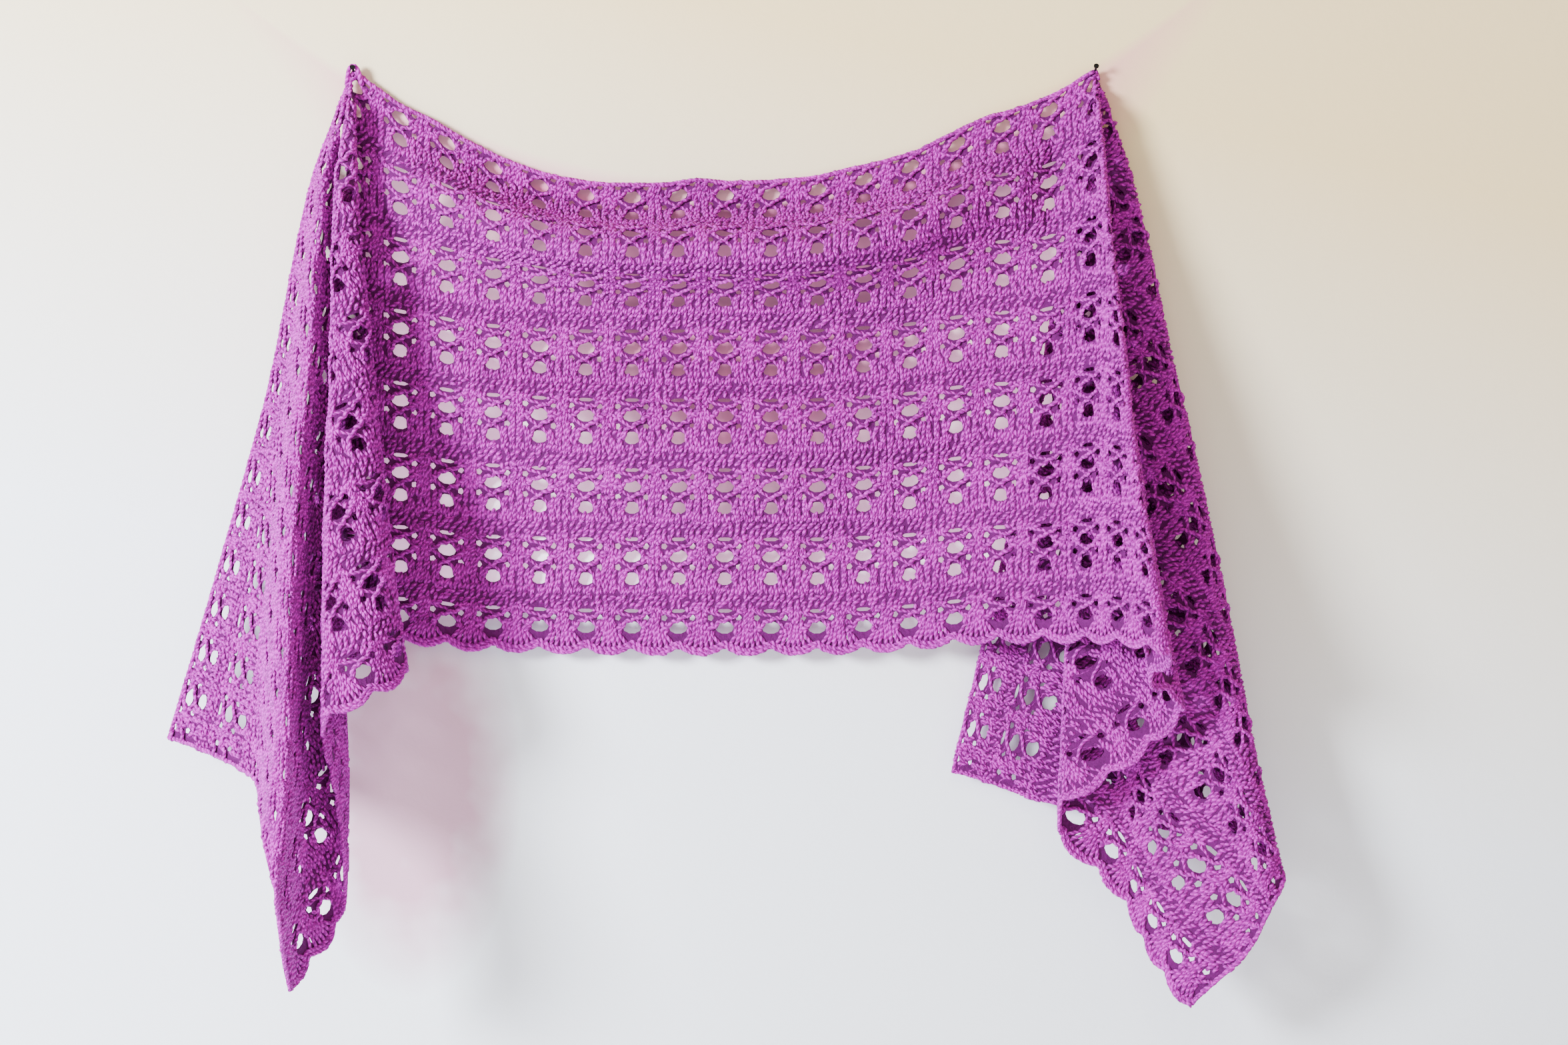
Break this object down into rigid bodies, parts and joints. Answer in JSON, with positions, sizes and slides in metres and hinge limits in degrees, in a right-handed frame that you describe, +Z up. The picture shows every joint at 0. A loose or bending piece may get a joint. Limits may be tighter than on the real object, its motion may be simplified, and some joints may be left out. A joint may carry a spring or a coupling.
{
  "type": "crocheted lace shawl hanging from two wall nails",
  "caption": "Crocheted lace shawl in orchid yarn, hung along its top edge from two wall nails with a pleated tail falling at each side.",
  "frame": {"origin": "centre of the left nail where it enters the wall", "axes": "+Z up, -Y out of the wall towards the viewer, +X along the wall from the left nail to the right nail"},
  "size_m": [0.9015, 0.2046, 0.7672],
  "materials": {
    "yarn": "fabric",
    "nail": "cast_iron"
  },
  "bodies": {
    "root": {"middle_panel": "yarn", "left_tail": "yarn", "right_tail": "yarn", "left_nail": "nail", "right_nail": "nail"}
  },
  "joints": []
}
